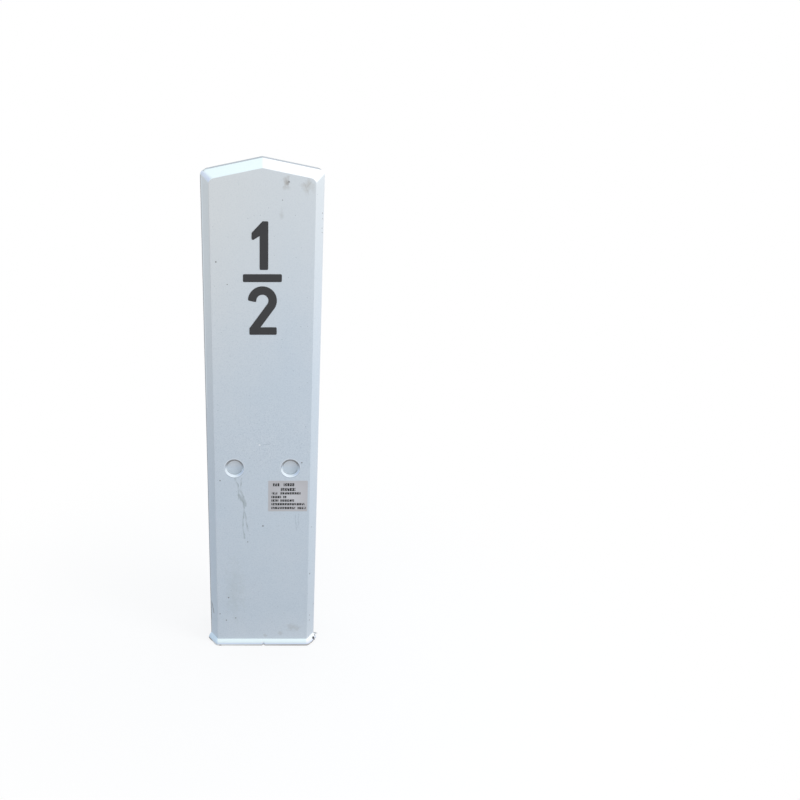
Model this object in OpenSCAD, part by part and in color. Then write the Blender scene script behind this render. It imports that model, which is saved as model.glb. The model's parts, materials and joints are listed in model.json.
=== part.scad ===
// Railway half-kilometre marker post: a hollow moulded shell, open at its foot,
// with a gabled top, a bevel round its front, two shallow round recesses,
// film numerals and a paper inspection label.
// The front faces -Y, +Z is up, and the origin is the middle of the foot.

/* [Body] */
// Height from the ground to the ridge
post_h = 900; // [760:10:1200]
// Width across the side walls
post_w = 200; // [180:5:300]
// Depth from the front face to the back
post_d = 100; // [70:5:160]
// How far the two roof slopes fall from the ridge to the shoulders
roof_drop = 20; // [8:1:60]
// Thickness of the moulded wall
wall = 4; // [3:0.5:6]
// Radius of the shoulders, seen from the front
shoulder_r = 8; // [4:1:14]

/* [Front bevel] */
// Width of the bevel, seen from the front
bevel_w = 14.5; // [10:0.5:20]
// Depth of the bevel behind the front face
bevel_d = 22; // [14:1:32]
// Radius of the front face's upper corners
face_r = 10; // [3:1:12]

/* [Toe] */
// Height of the flared toe round the front of the foot
toe_h = 12; // [9:0.5:20]
// How far the toe flares out from the body
toe_out = 6; // [3:0.5:8]
// Thickness of the toe's edge
toe_edge = 2.5; // [1.5:0.5:4]
// How far the torn end of the toe is bent out past its true edge
torn_out = 2; // [1:0.5:3]
// Length of the pointed flap at the torn end
flap_len = 8; // [4:1:12]
// Width of the flap's root along the side wall
flap_root = 4; // [3:0.5:6]
// Diameter of the hole punched through the torn end
torn_hole = 3.2; // [2:0.2:4]
// Width of the nick in the toe's edge, near its middle
nick_w = 5; // [3:0.5:8]
// How far the nick is from the middle of the front
nick_x = 2; // [-20:1:20]

/* [Recesses] */
// Diameter of a recess at the front face
recess_dia = 34; // [24:1:44]
// Width of the sloping wall round its floor
recess_slope = 2.5; // [1:0.5:8]
// Depth of a recess
recess_depth = 8; // [3:0.5:10]
// Distance between the centres of the two recesses
recess_pitch = 100; // [70:5:120]
// Height of their centres above the ground
recess_z = 371; // [200:1:500]

/* [Numerals] */
// Thickness of the film that the numerals are cut from
film_t = 0.3; // [0.2:0.1:1]
// Width of the strokes of both numerals
stroke = 14; // [10:0.5:16]
// Height of the upper numeral
one_h = 78; // [60:1:90]
// How far the flag of the upper numeral reaches left of its stem
one_flag = 13; // [8:0.5:18]
// How far the upper numeral's middle is left of the post's middle
one_shift = 4; // [0:0.5:8]
// Height of the lower numeral
two_h = 82; // [66:1:96]
// Width of the lower numeral
two_w = 48; // [42:1:60]
// Length of the fraction bar
bar_len = 64; // [50:1:90]
// Thickness of the fraction bar
bar_h = 13; // [8:0.5:18]
// Gap between the bar and the numeral above or below it
bar_gap = 7; // [4:0.5:14]
// Distance from the ridge down to the top of the upper numeral
numeral_drop = 97; // [60:1:140]
// Radius of the cut corners of the film
film_r = 2.2; // [1:0.1:3]

/* [Label] */
// Width of the inspection label
label_w = 71; // [50:1:80]
// Height of the inspection label
label_h = 61; // [40:1:90]
// Thickness of the label paper
label_t = 0.2; // [0.1:0.05:0.5]
// Radius of the label's corners
label_r = 1.5; // [0.5:0.5:4]
// Gap between the label and the right edge of the front face
label_side_gap = 4; // [1:0.5:10]
// Gap between the recesses' lower edge and the label
label_gap = 7; // [4:0.5:20]
// Thickness of the ink
ink_t = 0.1; // [0.05:0.01:0.2]
// Height of the printed bars in the two heading rows
head_h = 6; // [3:0.2:7]
// Height of the printed bars in the rows below them
ink_h = 4.4; // [2:0.2:5]
// Number of printed rows
rows = 7; // [3:1:7]

/* [Hidden] */

front_y = -post_d / 2;
back_y = post_d / 2;
half_w = post_w / 2;
slope = roof_drop / half_w;
slope_len = sqrt(1 + slope * slope);
// Length of the bevel's face, and its outward direction in plan
bevel_len = sqrt(bevel_w * bevel_w + bevel_d * bevel_d);
bevel_nx = bevel_d / bevel_len;
bevel_ny = bevel_w / bevel_len;
// Where the inner wall turns, so that the bevel keeps the wall's thickness
inner_bevel_w = bevel_w + wall * (1 - bevel_ny) / bevel_nx;
inner_bevel_d = bevel_d + wall * (1 - bevel_nx) / bevel_ny;
skin = 0.01;
cut = 5;

// Outline of the post seen from the front, drawn inset by a distance, with
// rounded upper corners, from low_z upwards
module outline(inset, radius, low_z) {
    x = half_w - inset;
    // The ridge is drawn higher by what its rounding takes away
    ridge = post_h - inset * slope_len + radius * (slope_len - 1);
    below = radius + 1;
    intersection() {
        offset(r = radius, $fn = 48) offset(delta = -radius)
            polygon([[-x, low_z - below], [x, low_z - below],
                     [x, ridge - slope * x], [0, ridge], [-x, ridge - slope * x]]);
        translate([-post_w, low_z]) square([2 * post_w, post_h]);
    }
}

// An upright slab of that outline between two depths
module slab(y0, y1, inset, radius, low_z) {
    translate([0, y1, 0]) rotate([90, 0, 0])
        linear_extrude(y1 - y0) outline(inset, radius, low_z);
}

// The closed form of the outside
module outside() {
    hull() {
        slab(front_y + bevel_d, back_y, 0, shoulder_r, 0);
        slab(front_y, front_y + skin, bevel_w, face_r, 0);
    }
}

// The hollow, which runs out through the foot
module hollow() {
    hull() {
        slab(front_y + inner_bevel_d, back_y - wall, wall, shoulder_r - wall / 2, -cut);
        slab(front_y + wall, front_y + wall + skin, inner_bevel_w, face_r - wall / 2, -cut);
    }
}

// A cone that sinks from the front face, grown by a thickness
module recess_cone(x, grow, start) {
    taper = recess_slope / recess_depth;
    floor_r = recess_dia / 2 - recess_slope + grow * 0.8;
    depth = recess_depth + grow;
    translate([x, front_y + depth, recess_z]) rotate([90, 0, 0])
        cylinder(h = depth + start, r1 = floor_r, r2 = floor_r + taper * (depth + start), $fn = 96);
}

// Path of the toe: along the left bevel, the front and the right bevel. Each
// point holds x, y, the direction that the toe flares in, and how far
mitre = (1 - bevel_ny) / bevel_nx;
corner_x = half_w - bevel_w;
// Distance along the right bevel and extra flare, at each point of the tear
tear = [[0.16, 0.2], [0.3, 1], [0.38, 0.4], [0.5, 1.2], [0.58, 0.6], [0.7, 1.3],
        [0.8, 0.5], [0.9, 0.9]];
function on_bevel(t) = [corner_x + t * bevel_w, front_y + t * bevel_d];
// Both ends stop just short of the side walls
toe_end = on_bevel(0.98);
toe_path = concat(
    [[-toe_end[0], toe_end[1], -bevel_nx, -bevel_ny, toe_out],
     [-corner_x, front_y, -mitre, -1, toe_out],
     [nick_x - nick_w / 2, front_y, 0, -1, toe_out],
     [nick_x - nick_w / 6, front_y, 0, -1, toe_out / 2],
     [nick_x + nick_w / 6, front_y, 0, -1, toe_out / 2],
     [nick_x + nick_w / 2, front_y, 0, -1, toe_out],
     [corner_x, front_y, mitre, -1, toe_out]],
    [for (p = tear) let (q = on_bevel(p[0]))
        [q[0], q[1], bevel_nx, -bevel_ny, toe_out + torn_out * p[1]]],
    [[toe_end[0], toe_end[1], bevel_nx, -bevel_ny, toe_out]]);

// The toe: its section is carried along the path. The section bulges: it is
// nearly upright above the edge, and leans back towards its top
module toe() {
    n = len(toe_path);
    points = [for (p = toe_path)
        let (section = [[-wall / 2, 0], [p[4] - toe_edge / 3, 0], [p[4], toe_edge / 3],
                        [p[4] * 0.95, toe_h * 0.4], [p[4] * 0.62, toe_h * 0.75],
                        [0, toe_h], [-wall / 2, toe_h]])
        for (s = section) [p[0] + p[2] * s[0], p[1] + p[3] * s[0], s[1]]];
    k = 7;
    faces = concat(
        [[for (j = [k - 1:-1:0]) j]],
        [[for (j = [0:k - 1]) (n - 1) * k + j]],
        [for (i = [0:n - 2]) for (j = [0:k - 1])
            for (f = [[i * k + j, i * k + (j + 1) % k, (i + 1) * k + j],
                      [i * k + (j + 1) % k, (i + 1) * k + (j + 1) % k, (i + 1) * k + j]]) f]);
    polyhedron(points, faces);
}

// The pointed flap that is torn loose at the right end of the toe
module flap() {
    root_x = half_w - wall / 2;
    tip_y = front_y + bevel_d;
    back = tip_y + flap_root / 4;
    front = back - flap_root;
    low = toe_h * 0.4;
    polyhedron([[root_x, back, toe_h], [root_x, front, toe_h], [root_x, front, low], [root_x, back, low],
                [half_w + flap_len, tip_y, toe_h * 0.75]],
               [[0, 1, 2, 3], [1, 0, 4], [2, 1, 4], [3, 2, 4], [0, 3, 4]]);
}

// The one-piece shell: outside, toe and flap, less the hollow and the recesses
module post_shell() {
    hole = on_bevel(0.62);
    color("#cfd9e1") difference() {
        union() {
            outside();
            toe();
            flap();
        }
        difference() {
            hollow();
            for (side = [-1, 1]) recess_cone(side * recess_pitch / 2, wall, 0);
        }
        for (side = [-1, 1]) recess_cone(side * recess_pitch / 2, 0, 1);
        translate([hole[0], hole[1], toe_h / 2])
            rotate([0, 90, atan2(-bevel_ny, bevel_nx)])
            translate([0, 0, -wall / 4]) cylinder(h = toe_out + wall + cut, d = torn_hole, $fn = 24);
    }
}

// Film cut to a flat shape and laid on the front face
module film(thick, base) {
    translate([0, front_y - base, 0]) rotate([90, 0, 0]) linear_extrude(thick) children();
}

// Rounds the corners that stand out of a flat shape
module soften(radius) {
    offset(r = radius, $fn = 24) offset(delta = -radius) children();
}

one_low = post_h - numeral_drop - one_h;
bar_low = one_low - bar_gap - bar_h;
two_top = bar_low - bar_gap;
// Left edge of the stem: flag and stem together are one_flag + stroke wide
stem_left = (one_flag - stroke) / 2 - one_shift;

// The upper numeral: a stem with a slanted flag
module numeral_one() {
    top = one_low + one_h;
    color("#3d3e40") film(film_t, 0) soften(film_r)
        polygon([[stem_left, one_low], [stem_left + stroke, one_low], [stem_left + stroke, top],
                 [stem_left + stroke / 3, top],
                 [stem_left - one_flag, top - one_h * 0.235],
                 [stem_left - one_flag, top - one_h * 0.4],
                 [stem_left, top - one_h * 0.3]]);
}

// The bar between the numerals
module fraction_bar() {
    color("#3d3e40") film(film_t, 0) soften(film_r)
        translate([-bar_len / 2, bar_low]) square([bar_len, bar_h]);
}

// The lower numeral: a ring's upper part, a diagonal that leaves it at its
// tangent, and a foot
module numeral_two() {
    outer_r = two_w / 2;
    low = two_top - two_h;
    mid = two_top - outer_r;
    lean = 36;
    run = (mid - low) * 1.3;
    end_tilt = 12;
    end_drop = outer_r / 5;
    color("#3d3e40") film(film_t, 0) soften(film_r) {
        difference() {
            translate([0, mid]) circle(r = outer_r, $fn = 120);
            translate([0, mid]) circle(r = outer_r - stroke, $fn = 120);
            // Below the tangent on the right, and below the stroke's end on the left
            translate([0, mid]) rotate(-lean) translate([0, -two_w]) square([two_w, two_w]);
            translate([0, mid - end_drop]) rotate(-end_tilt)
                translate([-two_w, -two_w]) square([two_w, two_w]);
        }
        intersection() {
            translate([0, mid]) rotate(-lean) translate([outer_r - stroke, -run])
                square([stroke, run + skin]);
            translate([-outer_r + film_r, low]) square([two_w, two_h]);
        }
        translate([-outer_r + film_r, low]) square([two_w - film_r, stroke * 0.92]);
    }
}

label_top = recess_z - recess_dia / 2 - label_gap;
label_low = label_top - label_h;
label_left = corner_x - label_side_gap - label_w;

// The paper label
module inspection_label() {
    color("#dcdad6") film(label_t, 0) soften(label_r)
        translate([label_left, label_low]) square([label_w, label_h]);
}

// Plain printed bars, row after row: how far down the row's middle is, as a
// share of the label's height, and where each bar starts and ends, as shares
// of its width
bars = [[0.13, [[0.12, 0.28], [0.39, 0.66]]], [0.285, [[0.32, 0.69]]],
        [0.41, [[0.09, 0.24], [0.31, 0.82]]], [0.53, [[0.08, 0.33], [0.38, 0.46]]],
        [0.645, [[0.08, 0.26], [0.31, 0.66]]], [0.765, [[0.08, 0.93]]],
        [0.89, [[0.08, 0.69], [0.75, 0.96]]]];

// The print on the label
module label_print() {
    color("#39393b") film(ink_t, label_t)
        for (i = [0:rows - 1]) for (b = bars[i][1])
            let (h = i < 2 ? head_h : ink_h)
                translate([label_left + b[0] * label_w, label_top - bars[i][0] * label_h - h / 2])
                    square([(b[1] - b[0]) * label_w, h]);
}

post_shell();
numeral_one();
fraction_bar();
numeral_two();
inspection_label();
label_print();
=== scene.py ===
# %% [markdown]
# # A railway half-kilometre marker post
#
# The real post is one hollow moulding of glass-fibre polyester, 900 mm high, with a
# pale gel coat on its outside. It has a gabled top, a bevel round its front, a flared
# toe with one torn end, two shallow blind recesses, a numeral cut from dark vinyl film
# and a small paper label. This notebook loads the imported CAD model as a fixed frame
# and dresses it: the shell is modelled afresh with softened edges, the flat pieces stay
# as the CAD made them, and every piece gets a material built from nodes.

import json

import bmesh
import bpy
import numpy as np
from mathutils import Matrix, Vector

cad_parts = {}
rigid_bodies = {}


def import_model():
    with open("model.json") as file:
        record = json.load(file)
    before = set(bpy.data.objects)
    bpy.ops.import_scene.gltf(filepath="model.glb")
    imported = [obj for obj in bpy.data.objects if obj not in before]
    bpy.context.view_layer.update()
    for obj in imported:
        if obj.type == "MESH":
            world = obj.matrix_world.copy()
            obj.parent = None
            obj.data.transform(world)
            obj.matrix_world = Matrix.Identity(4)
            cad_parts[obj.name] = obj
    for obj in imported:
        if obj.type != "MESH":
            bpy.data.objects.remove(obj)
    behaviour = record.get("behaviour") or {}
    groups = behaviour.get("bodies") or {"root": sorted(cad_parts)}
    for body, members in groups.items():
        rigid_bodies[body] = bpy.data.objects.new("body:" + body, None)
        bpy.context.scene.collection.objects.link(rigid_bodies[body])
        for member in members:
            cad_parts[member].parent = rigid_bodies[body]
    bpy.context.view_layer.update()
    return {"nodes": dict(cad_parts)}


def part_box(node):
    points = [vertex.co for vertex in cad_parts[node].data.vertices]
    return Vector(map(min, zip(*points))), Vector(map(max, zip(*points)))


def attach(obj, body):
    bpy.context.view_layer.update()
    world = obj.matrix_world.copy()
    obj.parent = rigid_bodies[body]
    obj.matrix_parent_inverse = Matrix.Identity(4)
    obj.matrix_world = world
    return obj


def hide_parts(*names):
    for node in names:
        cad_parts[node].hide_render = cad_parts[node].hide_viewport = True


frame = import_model()
print("pieces in the frame:", ", ".join(sorted(frame["nodes"])))

# %% [markdown]
# ## Where the camera stands
#
# The photograph was taken from straight in front, a little above the post's ridge and
# tilted down, so the sides lean in towards the foot. The camera stands in that place.
# The post is left of the middle of the picture: the lens is shifted sideways for that,
# because turning the camera would make the post lean.

# %% Make the camera
SENSOR = 36.0
PICTURE = 800
FOCAL_PIXELS = 779.7
POST_AT_PIXEL = 262.4
IN_FRONT, ABOVE_GROUND = 1.325, 0.939
TILT_DOWN = 19

camera_data = bpy.data.cameras.new("camera")
camera_data.sensor_width = SENSOR
camera_data.lens = FOCAL_PIXELS / PICTURE * SENSOR
camera_data.shift_x = 0.5 - POST_AT_PIXEL / PICTURE
camera = bpy.data.objects.new("camera", camera_data)
camera.location = (0, -IN_FRONT, ABOVE_GROUND)
camera.rotation_euler = (np.radians(90 - TILT_DOWN), 0, 0)
bpy.context.scene.collection.objects.link(camera)
bpy.context.scene.camera = camera
print(f"lens {camera_data.lens:.1f} mm, shifted by {camera_data.shift_x:.3f} of the width")

# %% [markdown]
# ## Two helpers for meshes
#
# Every new surface here is a grid of points, worked out by numpy as whole arrays. The
# first helper joins such grids into one mesh. Neighbouring grids share the points of
# their common edge, so that merging the doubles welds them without a gap.

# %% Grids to a mesh
MM = 0.001


def grid_faces(rows, columns, start, closed):
    """The four-sided faces of a grid: each point with its neighbours in the next row and
    the next column. A closed grid also joins its last column to its first."""
    wide = columns if closed else columns - 1
    r, c = np.meshgrid(np.arange(rows - 1), np.arange(wide), indexing="ij")
    right = (c + 1) % columns
    this_row, next_row = r * columns, (r + 1) * columns
    corners = [this_row + c, this_row + right, next_row + right, next_row + c]
    return start + np.stack(corners, -1).reshape(-1, 4)


def mesh_from(name, patches):
    """One mesh from a list of (points, closed): each points array is rows x columns x 3,
    in millimetres. Doubles are merged and the faces turned to point outwards."""
    points, faces, start = [], [], 0
    for grid, closed in patches:
        rows, columns = grid.shape[:2]
        points.append(grid.reshape(-1, 3))
        faces.append(grid_faces(rows, columns, start, closed))
        start += rows * columns
    mesh = bpy.data.meshes.new(name)
    mesh.from_pydata(np.concatenate(points) * MM, [], np.concatenate(faces).tolist())
    work = bmesh.new()
    work.from_mesh(mesh)
    bmesh.ops.remove_doubles(work, verts=work.verts, dist=0.002 * MM)
    bmesh.ops.dissolve_degenerate(work, edges=work.edges, dist=0.001 * MM)
    bmesh.ops.recalc_face_normals(work, faces=work.faces)
    open_edges = sum(1 for edge in work.edges if not edge.is_manifold)
    volume = work.calc_volume(signed=True)
    work.to_mesh(mesh)
    work.free()
    print(f"{name}: {len(mesh.polygons)} faces, {open_edges} open edges, {volume * 1e6:.0f} cm3")
    return mesh


# %% [markdown]
# Sharp corners are what makes a model look like a model. The second helper rounds the
# corners of a polyline, and it is used for every section in this notebook.

# %% Round a polyline
def rounded(corners, radii, steps=5):
    """A polyline with its inner corners rounded. At each corner the arc touches both
    sides: it starts radius x tan(half the turn) before the corner, and its points are
    centre + radius x direction, with the direction turning evenly."""
    corners = np.asarray(corners, float)
    made = [corners[:1]]
    for before, at, after, radius in zip(corners, corners[1:], corners[2:], radii):
        a = (before - at) / np.linalg.norm(before - at)
        b = (after - at) / np.linalg.norm(after - at)
        half = 0.5 * np.arccos(np.clip(a @ b, -1, 1))
        centre = at + (a + b) / np.linalg.norm(a + b) * radius / np.sin(half)
        start, end = at + a * radius / np.tan(half) - centre, at + b * radius / np.tan(half) - centre
        turn = np.pi - 2 * half
        t = np.linspace(0, 1, steps)[:, None]
        made.append(centre + (np.sin((1 - t) * turn) * start + np.sin(t * turn) * end) / np.sin(turn))
    made.append(corners[-1:])
    return np.concatenate(made)


print("a rounded right angle has", len(rounded([[0, 0], [1, 0], [1, 1]], [0.2])), "points")

# %% [markdown]
# ## The post's sizes
#
# The height and depth come from the CAD shell's own box. The rest repeats the sizes of
# the part's source, in millimetres.

# %% Sizes of the shell
low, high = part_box("post_shell")
POST_H = high.z / MM
HALF_W = 100.0
BACK_Y = high.y / MM
FRONT_Y = BACK_Y - 100.0
ROOF_SLOPE = 0.2
SLOPE_LEN = np.hypot(1, ROOF_SLOPE)
ROOF_TURN = np.arctan(ROOF_SLOPE)
WALL = 4.0
BEVEL_W, BEVEL_D = 14.5, 22.0
SHOULDER_R, FACE_R = 8.0, 10.0
RECESS_X, RECESS_Z = 50.0, 371.0
RECESS_R, RECESS_SLOPE, RECESS_DEPTH = 17.0, 2.5, 8.0
print(f"the post is {POST_H:.2f} mm high, and its front is at y = {FRONT_Y:.1f} mm")

# %% [markdown]
# ## The gable outline
#
# Seen from the front, every section of the shell has the same outline: up one side,
# round the shoulder, up the roof slope, over the ridge and down again. The bevel and
# the inner wall are that outline drawn further in. So one function gives the outline
# for any inset, always with matching points, and the surfaces between two insets are
# simply strips between two such outlines.

# %% Lines of the grid
BLOCK = 24.0
HALF_LINES = 16
block_lines = np.linspace(-BLOCK, BLOCK, 2 * HALF_LINES + 1)
EDGE = 1.0
FACE_INSET = BEVEL_W + EDGE

ROWS_LOW = np.concatenate([
    np.linspace(0, RECESS_Z - BLOCK, 44)[:-1],
    RECESS_Z + block_lines,
    [RECESS_Z + BLOCK + 5],
])
ROWS_HIGH = np.linspace(0, 1, 46)[1:]


def gable_top(inset, radius, slope_shares):
    """Points of the outline's top from the left side's end to the right side's end: the
    shoulder's arc, the slope at the given shares of its length, the ridge's arc, and the
    mirror image. The roof line is z = ridge - slope x |x|; each arc's centre lies one
    radius inside it, which is radius x sqrt(1 + slope^2) below it."""
    line = POST_H - inset * SLOPE_LEN + radius * (SLOPE_LEN - 1)
    cx = -(HALF_W - inset) + radius
    cz = line - radius * SLOPE_LEN + ROOF_SLOPE * cx
    turn = np.linspace(np.pi, np.pi / 2 + ROOF_TURN, 7)
    shoulder = np.stack([cx + radius * np.cos(turn), cz + radius * np.sin(turn)], -1)
    turn = np.linspace(np.pi / 2 + ROOF_TURN, np.pi / 2, 3)
    ridge = np.stack([radius * np.cos(turn), line - radius * SLOPE_LEN + radius * np.sin(turn)], -1)
    slope = shoulder[-1] + slope_shares[:, None] * (ridge[0] - shoulder[-1])
    left = np.concatenate([shoulder, slope, ridge])
    return np.concatenate([left, left[-2::-1] * [-1, 1]])


face_r = SHOULDER_R + (FACE_R - SHOULDER_R) * FACE_INSET / BEVEL_W
# The shoulder's arc has the points 0 to 6 and the ridge's arc starts at point 9
slope_x = gable_top(FACE_INSET, face_r, np.array([0.0, 1.0]))[[6, 9], 0]
before_block = [(slope_x[0] - BLOCK - RECESS_X) / 2]
after_block = np.linspace(-BLOCK - 2, slope_x[1], 11)[1:-1]
wanted = np.concatenate([before_block, block_lines - RECESS_X, after_block])
SLOPE_SHARES = (wanted - slope_x[0]) / (slope_x[1] - slope_x[0])
lines_across = 2 * (len(SLOPE_SHARES) + 10) - 1
print("lines across the front:", lines_across, "- rows:", len(ROWS_LOW) + len(ROWS_HIGH))

# %% [markdown]
# ## Panels, and round recesses on a square grid
#
# A flat panel fills the outline with a grid. A round recess on a square grid would get
# a jagged rim, so a square block of the grid round each recess is redrawn: its square
# rings of points become circles, which widen back into the square at the block's edge.
# The rings are packed where the recess turns, at its rim and at its floor.

# %% Panel with recesses
RING_RADII = np.array([
    0, 3.5, 7, 10, 12.2, 13.4, 14.0, 14.5, 15.1, 15.9, 16.5, 17.0, 17.5, 18.3, 19.8, 21.7, BLOCK,
])
# Up to this share of the rings they stay round, and only radii under 19 mm may grow
ROUND_SHARE = 0.84
MAY_GROW = 19


def squareness(ring):
    """0 on the round inner rings, growing evenly to 1 on the square outermost one."""
    return np.clip((ring - ROUND_SHARE) / (1 - ROUND_SHARE), 0, 1)


def rings(p, q, grow):
    """Turns the points (p, q) of a square from -1 to 1 into rings round its middle. The
    ring's number is max(|p|, |q|); its angle is an eighth of a turn times q / p; and it
    blends from circle to square by squareness. Gives x, z and the distance from the middle."""
    ring = np.maximum(np.abs(p), np.abs(q))
    safe = np.where(ring > 0, ring, 1)
    flat = np.abs(p) >= np.abs(q)
    angle = np.where(flat, np.pi / 4 * q / safe, np.pi / 4 * p / safe)
    along, across = np.cos(angle), np.sin(angle)
    cx = np.where(flat, np.sign(p) * along, across)
    cz = np.where(flat, across, np.sign(q) * along)
    radii = np.where(RING_RADII < MAY_GROW, RING_RADII + grow * RING_RADII / RECESS_R, RING_RADII)
    r = np.interp(ring * HALF_LINES, np.arange(HALF_LINES + 1), np.maximum.accumulate(radii))
    s = squareness(ring)
    x = (1 - s) * r * cx + s * BLOCK * p
    z = (1 - s) * r * cz + s * BLOCK * q
    return x, z, np.hypot(x, z)


def recess_depth(r, rim):
    """Depth of a recess at a distance r from its middle: a straight sloping wall between
    the rim and the floor, averaged over a short length so that both its ends are round."""
    t, h = (rim - r) / RECESS_SLOPE, 0.6 / RECESS_SLOPE

    def total(u):
        return np.where(u < 0, 0, np.where(u > 1, u - 0.5, 0.5 * u * u))

    return RECESS_DEPTH * (total(t + h) - total(t - h)) / (2 * h)


def panel(inset, radius, y, rim=None):
    """A flat panel at depth y: rows x columns x 3. Each column runs from the foot to the
    outline's top, and above the recesses its rows stretch to reach it. With a rim radius,
    the two recesses sink into it, towards +y."""
    top = gable_top(inset, radius, SLOPE_SHARES)
    bend = ROWS_LOW[-1]
    high_rows = bend + ROWS_HIGH[:, None] * (top[:, 1] - bend)
    z = np.concatenate([np.repeat(ROWS_LOW[:, None], len(top), 1), high_rows])
    x = np.repeat(top[None, :, 0], len(z), 0)
    depth = np.full_like(x, y)
    if rim:
        grow = rim - RECESS_R
        first_row = int(np.argmin(np.abs(ROWS_LOW - (RECESS_Z - BLOCK))))
        p, q = np.meshgrid(block_lines / BLOCK, block_lines / BLOCK)
        s = squareness(np.maximum(np.abs(p), np.abs(q)))
        rx, rz, r = rings(p, q, grow)
        sunk = recess_depth(r, rim)
        for side in (-1, 1):
            first = int(np.argmin(np.abs(top[:, 0] - (side * RECESS_X - BLOCK))))
            cells = (
                slice(first_row, first_row + 2 * HALF_LINES + 1),
                slice(first, first + 2 * HALF_LINES + 1),
            )
            edge_x = x[cells] - side * RECESS_X
            x[cells] = side * RECESS_X + (1 - s) * rx + s * edge_x
            z[cells] = RECESS_Z + rz
            # The outer skin's floors are a little lumpy, by up to a quarter of a millimetre
            lumps = 0.16 * np.sin(1.1 * rx + 2 * side) * np.sin(0.9 * rz + 1)
            lumps = lumps + 0.1 * np.sin(2.3 * rx - 1.7 * rz)
            depth[cells] += sunk + (lumps if grow == 0 else 0) * (sunk / RECESS_DEPTH) ** 6
    return np.stack([x, depth, z], -1)


face = panel(FACE_INSET, face_r, FRONT_Y, RECESS_R)
deepest = round(face[..., 1].max(), 2)
print("the face is", face.shape[0], "x", face.shape[1], "points; its recesses reach y =", deepest)

# %% [markdown]
# ## The rim, the inner skin and the foot
#
# The rim is a section carried round the outline: from the back panel round the back
# edge, along the side wall, over the bevel's two edges and on to the face. The hollow
# inside has the same parts, 4 mm further in. At the foot, strips join the two skins.

# %% Rim
def rim_strip(section, radius_at):
    """A section carried along the gable outline. section holds (inset, y); for each of its
    points the whole outline is drawn at that inset, as the edge of a panel is."""
    loops = []
    for inset, y in section:
        whole = panel(inset, radius_at(inset), y)
        loops.append(np.concatenate([whole[:, 0], whole[-1, 1:-1], whole[::-1, -1]]))
    return np.stack(loops)


def skin(wall):
    """The back panel, rim and front panel of the outer skin, or of the inner skin when
    wall is above 0: insets and depths grow so that the bevel keeps the wall's thickness."""
    length = np.hypot(BEVEL_W, BEVEL_D)
    nx, ny = BEVEL_D / length, BEVEL_W / length
    turn_w = BEVEL_W + wall * (1 - ny) / nx
    turn_d = BEVEL_D + wall * (1 - nx) / ny
    front, back = FRONT_Y + wall, BACK_Y - wall
    section = rounded(
        [[wall + 3.0, back], [wall, back], [wall, FRONT_Y + turn_d], [turn_w, front],
         [turn_w + EDGE, front]],
        [2.0, 3.0, 1.6],
    )
    # Three more points between the back edge's arc and the bevel's divide the long side wall
    extra = [section[5] + (section[6] - section[5]) * t for t in (0.25, 0.5, 0.75)]
    section = np.concatenate([section[:6], extra, section[6:]])

    def radius_at(inset):
        return SHOULDER_R - wall / 2 + (FACE_R - SHOULDER_R) * (inset - wall) / BEVEL_W

    back_panel = panel(section[0, 0], radius_at(section[0, 0]), back)
    front_panel = panel(section[-1, 0], radius_at(section[-1, 0]), front, RECESS_R + 0.8 * wall)
    return back_panel, rim_strip(section, radius_at), front_panel


outer, inner = skin(0.0), skin(WALL)
foot = [np.stack([a, b]) for a, b in [
    (outer[0][0], inner[0][0]),
    (outer[1][:, 0], inner[1][:, 0]),
    (outer[1][:, -1], inner[1][:, -1]),
    (outer[2][0], inner[2][0]),
]]
shell_patches = [(patch, False) for patch in (*outer, *inner, *foot)]
print("patches of the body:", len(shell_patches))

# %% [markdown]
# ## The toe and its torn end
#
# The toe is a lip that flares out round the front of the foot. It is a section carried
# along a path: the left bevel, the front and the right bevel. On the post in the
# photograph a nick sits near the middle of its lip, and its right end is torn: the lip
# is bent out unevenly, its lower edge is ragged, a hole goes through it, and a pointed
# flap sticks out to the right. The path says at each station how far the lip flares and
# how far its lower edge is lifted, and numpy fills in the points between the stations.

# %% Path of the toe
TOE_H, TOE_OUT = 12.0, 6.0
CORNER_X = HALF_W - BEVEL_W
bevel_length = np.hypot(BEVEL_W, BEVEL_D)
out_x, out_y = BEVEL_D / bevel_length, BEVEL_W / bevel_length
mitre = (1 - out_y) / out_x

# Both ends stop just short of the side walls, at this share of the bevel
END = 0.98
# Stations: distance along the path, x, y, direction of the flare in x and y, flare, rise
left, right = bevel_length, bevel_length + 2 * CORNER_X
middle = left + CORNER_X
stations = np.array([
    [0.02 * left, -CORNER_X - END * BEVEL_W, FRONT_Y + END * BEVEL_D, -out_x, -out_y, TOE_OUT, 0],
    [left - 1, -CORNER_X - 0.55, FRONT_Y + 0.83, -out_x, -out_y, TOE_OUT, 0],
    [left + 1, -CORNER_X + 1, FRONT_Y, 0, -1, TOE_OUT, 0],
    [middle - 1.6, -1.6, FRONT_Y, 0, -1, TOE_OUT, 0],
    [middle + 0.8, 0.8, FRONT_Y, 0, -1, TOE_OUT - 1.7, 1.0],
    [middle + 2.8, 2.8, FRONT_Y, 0, -1, TOE_OUT - 2.0, 1.5],
    [middle + 4.8, 4.8, FRONT_Y, 0, -1, TOE_OUT, 0],
    [right - 1, CORNER_X - 1, FRONT_Y, 0, -1, TOE_OUT, 0],
    [right + 1, CORNER_X + 0.55, FRONT_Y + 0.83, out_x, -out_y, TOE_OUT, 0.2],
])
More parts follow.
